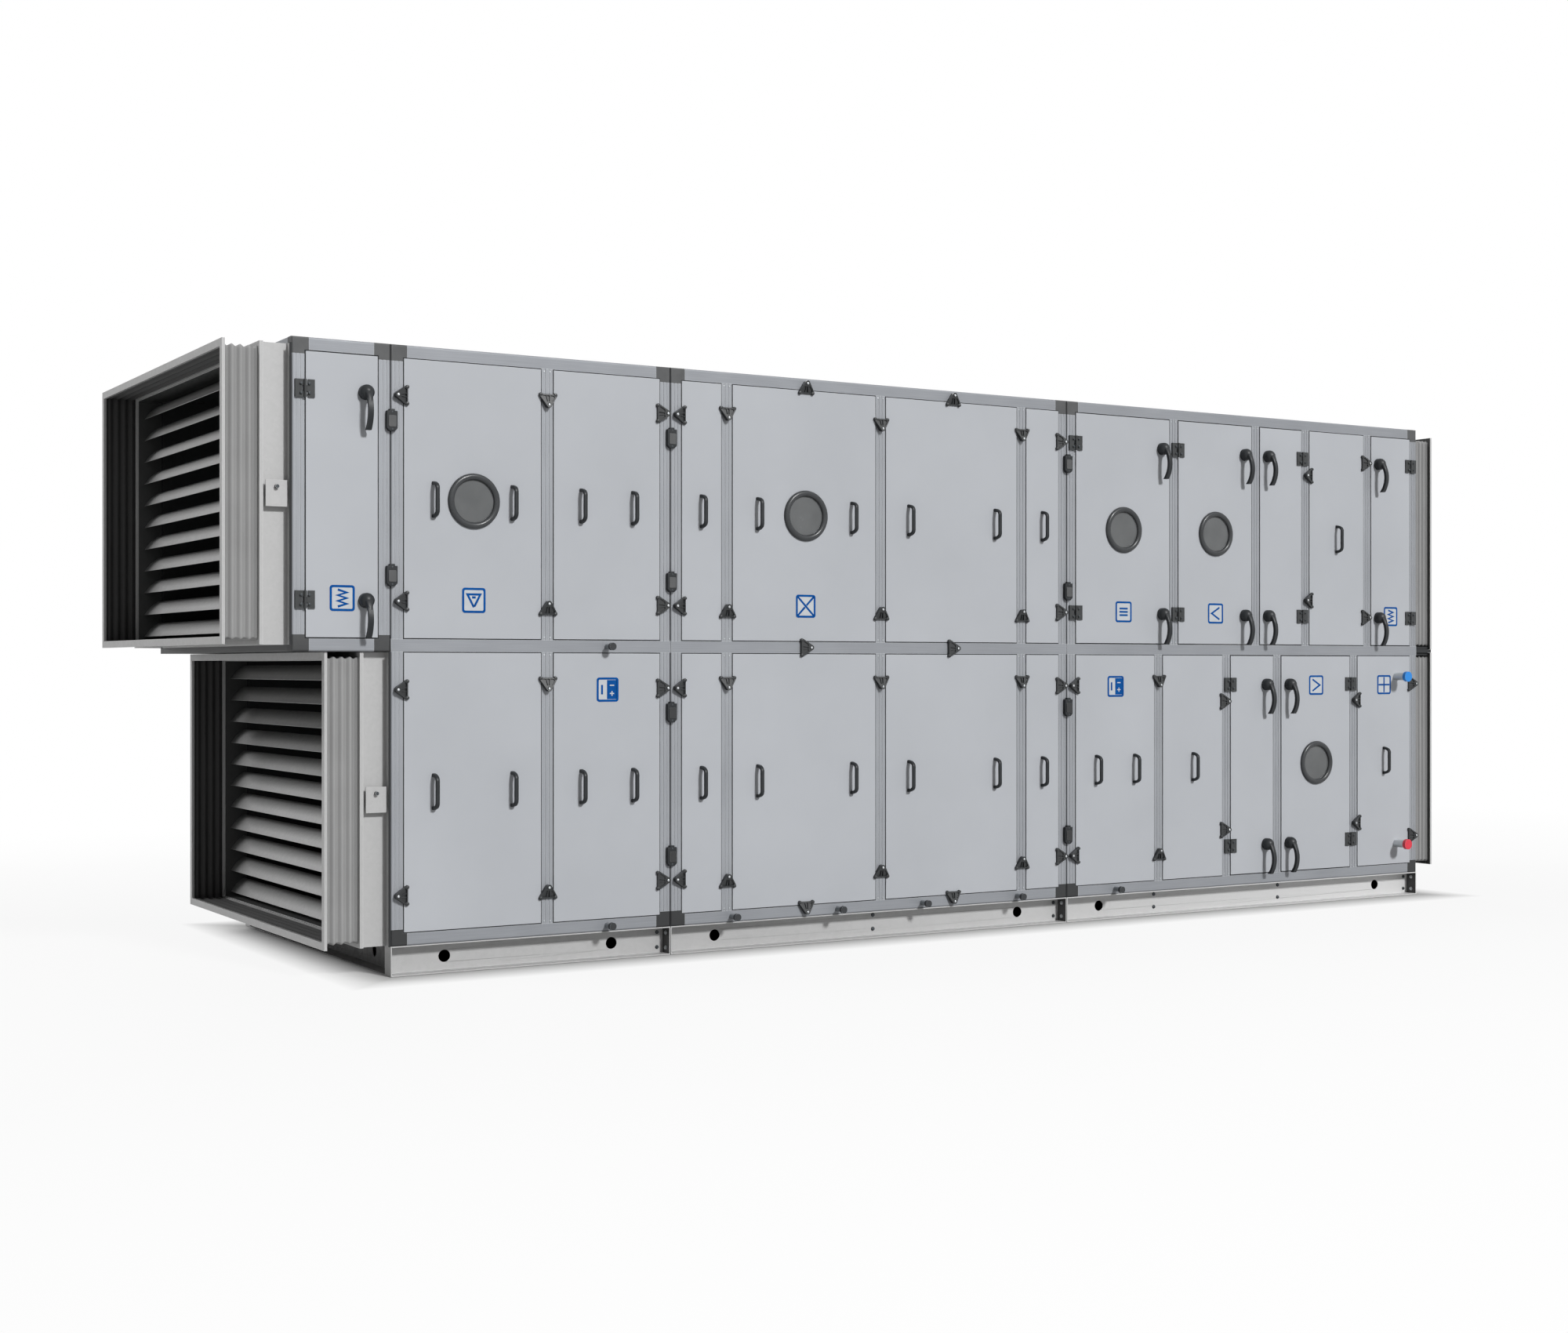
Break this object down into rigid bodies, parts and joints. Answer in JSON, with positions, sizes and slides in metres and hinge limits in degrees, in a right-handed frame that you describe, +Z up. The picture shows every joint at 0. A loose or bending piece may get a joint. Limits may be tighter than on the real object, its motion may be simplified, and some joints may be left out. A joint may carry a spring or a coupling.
{
  "type": "air handling unit",
  "caption": "Double-deck air handling unit: insulated casing on a steel base frame, with hinged access doors, round windows, multi-blade dampers and flexible duct connectors.",
  "frame": {"origin": "on the floor under the middle of the whole unit", "axes": "+X along the unit, from the dampers to the plain connectors; the service side faces -Y; +Z up"},
  "size_m": [6.602, 2.014, 2.5],
  "materials": {
    "galvanised": "galvanised sheet, satin",
    "aluminium_frame": "anodised, satin",
    "coated_sheet": "coil-coated sheet, satin",
    "dark_plastic": "moulded, fine texture",
    "window_glass": "clear",
    "pipe_cap": "moulded",
    "drain_plastic": "moulded",
    "canvas": "coated canvas, matt"
  },
  "bodies": {
    "casing": {"base_rails": "galvanised", "base_cross_members": "galvanised", "uprights": "aluminium_frame", "long_rails": "aluminium_frame", "cross_rails": "aluminium_frame", "corner_caps": "dark_plastic", "roof_panels": "coated_sheet", "floor_panels": "coated_sheet", "rear_panels": "coated_sheet", "front_panels": "coated_sheet", "upper_doors": "coated_sheet", "window_rings": "dark_plastic", "window_panes": "window_glass", "fixed_hinges": "dark_plastic", "upper_levers": "dark_plastic", "handle_grips": "dark_plastic", "handle_feet": "dark_plastic", "clamps": "dark_plastic", "section_connectors": "dark_plastic", "drain_stubs": "drain_plastic", "coil_pipes": "pipe_cap", "flange_uprights": "galvanised", "flange_bars": "galvanised", "canvas_sides": "canvas", "canvas_tops": "canvas", "damper_uprights": "galvanised", "damper_bars": "galvanised"},
    "left_door": {"lower_left_door": "coated_sheet", "left_door_hinges": "dark_plastic"},
    "right_door": {"lower_right_door": "coated_sheet", "right_door_hinges": "dark_plastic", "door_window_ring": "dark_plastic", "door_window_pane": "window_glass"},
    "left_lever_top": {"left_lever_top": "dark_plastic"},
    "left_lever_bottom": {"left_lever_bottom": "dark_plastic"},
    "right_lever_top": {"right_lever_top": "dark_plastic"},
    "right_lever_bottom": {"right_lever_bottom": "dark_plastic"},
    "upper_blade_1": {"upper_blade_1": "galvanised"},
    "upper_blade_2": {"upper_blade_2": "galvanised"},
    "upper_blade_3": {"upper_blade_3": "galvanised"},
    "upper_blade_4": {"upper_blade_4": "galvanised"},
    "upper_blade_5": {"upper_blade_5": "galvanised"},
    "upper_blade_6": {"upper_blade_6": "galvanised"},
    "upper_blade_7": {"upper_blade_7": "galvanised"},
    "upper_blade_8": {"upper_blade_8": "galvanised"},
    "upper_blade_9": {"upper_blade_9": "galvanised"},
    "upper_blade_10": {"upper_blade_10": "galvanised"},
    "upper_blade_11": {"upper_blade_11": "galvanised"},
    "lower_blade_1": {"lower_blade_1": "galvanised"},
    "lower_blade_2": {"lower_blade_2": "galvanised"},
    "lower_blade_3": {"lower_blade_3": "galvanised"},
    "lower_blade_4": {"lower_blade_4": "galvanised"},
    "lower_blade_5": {"lower_blade_5": "galvanised"},
    "lower_blade_6": {"lower_blade_6": "galvanised"},
    "lower_blade_7": {"lower_blade_7": "galvanised"},
    "lower_blade_8": {"lower_blade_8": "galvanised"},
    "lower_blade_9": {"lower_blade_9": "galvanised"},
    "lower_blade_10": {"lower_blade_10": "galvanised"},
    "lower_blade_11": {"lower_blade_11": "galvanised"}
  },
  "joints": [
    {"name": "left_door_hinge", "type": "hinge", "parent": "casing", "child": "left_door", "pos_m": [1.815, -0.927, 0.7275], "axis": [0, 0, -1], "range_deg": [0, 110]},
    {"name": "right_door_hinge", "type": "hinge", "parent": "casing", "child": "right_door", "pos_m": [2.665, -0.927, 0.7275], "axis": [0, 0, 1], "range_deg": [0, 110]},
    {"name": "left_lever_bottom_turn", "type": "hinge", "parent": "left_door", "child": "left_lever_bottom", "pos_m": [2.06, -0.919, 0.32], "axis": [0, 1, 0], "range_deg": [0, 90]},
    {"name": "left_lever_top_turn", "type": "hinge", "parent": "left_door", "child": "left_lever_top", "pos_m": [2.06, -0.919, 1.135], "axis": [0, 1, 0], "range_deg": [0, 90]},
    {"name": "right_lever_bottom_turn", "type": "hinge", "parent": "right_door", "child": "right_lever_bottom", "pos_m": [2.22, -0.919, 0.32], "axis": [0, -1, 0], "range_deg": [0, 90]},
    {"name": "right_lever_top_turn", "type": "hinge", "parent": "right_door", "child": "right_lever_top", "pos_m": [2.22, -0.919, 1.135], "axis": [0, -1, 0], "range_deg": [0, 90]},
    {"name": "upper_blade_1_turn", "type": "hinge", "parent": "casing", "child": "upper_blade_1", "pos_m": [-3.09, 0.044, 1.39386], "axis": [0, -1, 0], "range_deg": [-45, 45]},
    {"name": "upper_blade_2_turn", "type": "hinge", "parent": "casing", "child": "upper_blade_2", "pos_m": [-3.09, 0.044, 1.49359], "axis": [0, -1, 0], "range_deg": [-45, 45]},
    {"name": "upper_blade_3_turn", "type": "hinge", "parent": "casing", "child": "upper_blade_3", "pos_m": [-3.09, 0.044, 1.59332], "axis": [0, -1, 0], "range_deg": [-45, 45]},
    {"name": "upper_blade_4_turn", "type": "hinge", "parent": "casing", "child": "upper_blade_4", "pos_m": [-3.09, 0.044, 1.69305], "axis": [0, -1, 0], "range_deg": [-45, 45]},
    {"name": "upper_blade_5_turn", "type": "hinge", "parent": "casing", "child": "upper_blade_5", "pos_m": [-3.09, 0.044, 1.79277], "axis": [0, -1, 0], "range_deg": [-45, 45]},
    {"name": "upper_blade_6_turn", "type": "hinge", "parent": "casing", "child": "upper_blade_6", "pos_m": [-3.09, 0.044, 1.8925], "axis": [0, -1, 0], "range_deg": [-45, 45]},
    {"name": "upper_blade_7_turn", "type": "hinge", "parent": "casing", "child": "upper_blade_7", "pos_m": [-3.09, 0.044, 1.99223], "axis": [0, -1, 0], "range_deg": [-45, 45]},
    {"name": "upper_blade_8_turn", "type": "hinge", "parent": "casing", "child": "upper_blade_8", "pos_m": [-3.09, 0.044, 2.09195], "axis": [0, -1, 0], "range_deg": [-45, 45]},
    {"name": "upper_blade_9_turn", "type": "hinge", "parent": "casing", "child": "upper_blade_9", "pos_m": [-3.09, 0.044, 2.19168], "axis": [0, -1, 0], "range_deg": [-45, 45]},
    {"name": "upper_blade_10_turn", "type": "hinge", "parent": "casing", "child": "upper_blade_10", "pos_m": [-3.09, 0.044, 2.29141], "axis": [0, -1, 0], "range_deg": [-45, 45]},
    {"name": "upper_blade_11_turn", "type": "hinge", "parent": "casing", "child": "upper_blade_11", "pos_m": [-3.09, 0.044, 2.39114], "axis": [0, -1, 0], "range_deg": [-45, 45]},
    {"name": "lower_blade_1_turn", "type": "hinge", "parent": "casing", "child": "lower_blade_1", "pos_m": [-2.69, 0.044, 0.20286], "axis": [0, -1, 0], "range_deg": [-45, 45]},
    {"name": "lower_blade_2_turn", "type": "hinge", "parent": "casing", "child": "lower_blade_2", "pos_m": [-2.69, 0.044, 0.30259], "axis": [0, -1, 0], "range_deg": [-45, 45]},
    {"name": "lower_blade_3_turn", "type": "hinge", "parent": "casing", "child": "lower_blade_3", "pos_m": [-2.69, 0.044, 0.40232], "axis": [0, -1, 0], "range_deg": [-45, 45]},
    {"name": "lower_blade_4_turn", "type": "hinge", "parent": "casing", "child": "lower_blade_4", "pos_m": [-2.69, 0.044, 0.50205], "axis": [0, -1, 0], "range_deg": [-45, 45]},
    {"name": "lower_blade_5_turn", "type": "hinge", "parent": "casing", "child": "lower_blade_5", "pos_m": [-2.69, 0.044, 0.60177], "axis": [0, -1, 0], "range_deg": [-45, 45]},
    {"name": "lower_blade_6_turn", "type": "hinge", "parent": "casing", "child": "lower_blade_6", "pos_m": [-2.69, 0.044, 0.7015], "axis": [0, -1, 0], "range_deg": [-45, 45]},
    {"name": "lower_blade_7_turn", "type": "hinge", "parent": "casing", "child": "lower_blade_7", "pos_m": [-2.69, 0.044, 0.80123], "axis": [0, -1, 0], "range_deg": [-45, 45]},
    {"name": "lower_blade_8_turn", "type": "hinge", "parent": "casing", "child": "lower_blade_8", "pos_m": [-2.69, 0.044, 0.90095], "axis": [0, -1, 0], "range_deg": [-45, 45]},
    {"name": "lower_blade_9_turn", "type": "hinge", "parent": "casing", "child": "lower_blade_9", "pos_m": [-2.69, 0.044, 1.00068], "axis": [0, -1, 0], "range_deg": [-45, 45]},
    {"name": "lower_blade_10_turn", "type": "hinge", "parent": "casing", "child": "lower_blade_10", "pos_m": [-2.69, 0.044, 1.10041], "axis": [0, -1, 0], "range_deg": [-45, 45]},
    {"name": "lower_blade_11_turn", "type": "hinge", "parent": "casing", "child": "lower_blade_11", "pos_m": [-2.69, 0.044, 1.20014], "axis": [0, -1, 0], "range_deg": [-45, 45]}
  ],
  "couplings": [
    {"joint": "upper_blade_2_turn", "follows": "upper_blade_1_turn", "ratio": 1},
    {"joint": "upper_blade_3_turn", "follows": "upper_blade_1_turn", "ratio": 1},
    {"joint": "upper_blade_4_turn", "follows": "upper_blade_1_turn", "ratio": 1},
    {"joint": "upper_blade_5_turn", "follows": "upper_blade_1_turn", "ratio": 1},
    {"joint": "upper_blade_6_turn", "follows": "upper_blade_1_turn", "ratio": 1},
    {"joint": "upper_blade_7_turn", "follows": "upper_blade_1_turn", "ratio": 1},
    {"joint": "upper_blade_8_turn", "follows": "upper_blade_1_turn", "ratio": 1},
    {"joint": "upper_blade_9_turn", "follows": "upper_blade_1_turn", "ratio": 1},
    {"joint": "upper_blade_10_turn", "follows": "upper_blade_1_turn", "ratio": 1},
    {"joint": "upper_blade_11_turn", "follows": "upper_blade_1_turn", "ratio": 1},
    {"joint": "lower_blade_2_turn", "follows": "lower_blade_1_turn", "ratio": 1},
    {"joint": "lower_blade_3_turn", "follows": "lower_blade_1_turn", "ratio": 1},
    {"joint": "lower_blade_4_turn", "follows": "lower_blade_1_turn", "ratio": 1},
    {"joint": "lower_blade_5_turn", "follows": "lower_blade_1_turn", "ratio": 1},
    {"joint": "lower_blade_6_turn", "follows": "lower_blade_1_turn", "ratio": 1},
    {"joint": "lower_blade_7_turn", "follows": "lower_blade_1_turn", "ratio": 1},
    {"joint": "lower_blade_8_turn", "follows": "lower_blade_1_turn", "ratio": 1},
    {"joint": "lower_blade_9_turn", "follows": "lower_blade_1_turn", "ratio": 1},
    {"joint": "lower_blade_10_turn", "follows": "lower_blade_1_turn", "ratio": 1},
    {"joint": "lower_blade_11_turn", "follows": "lower_blade_1_turn", "ratio": 1}
  ]
}
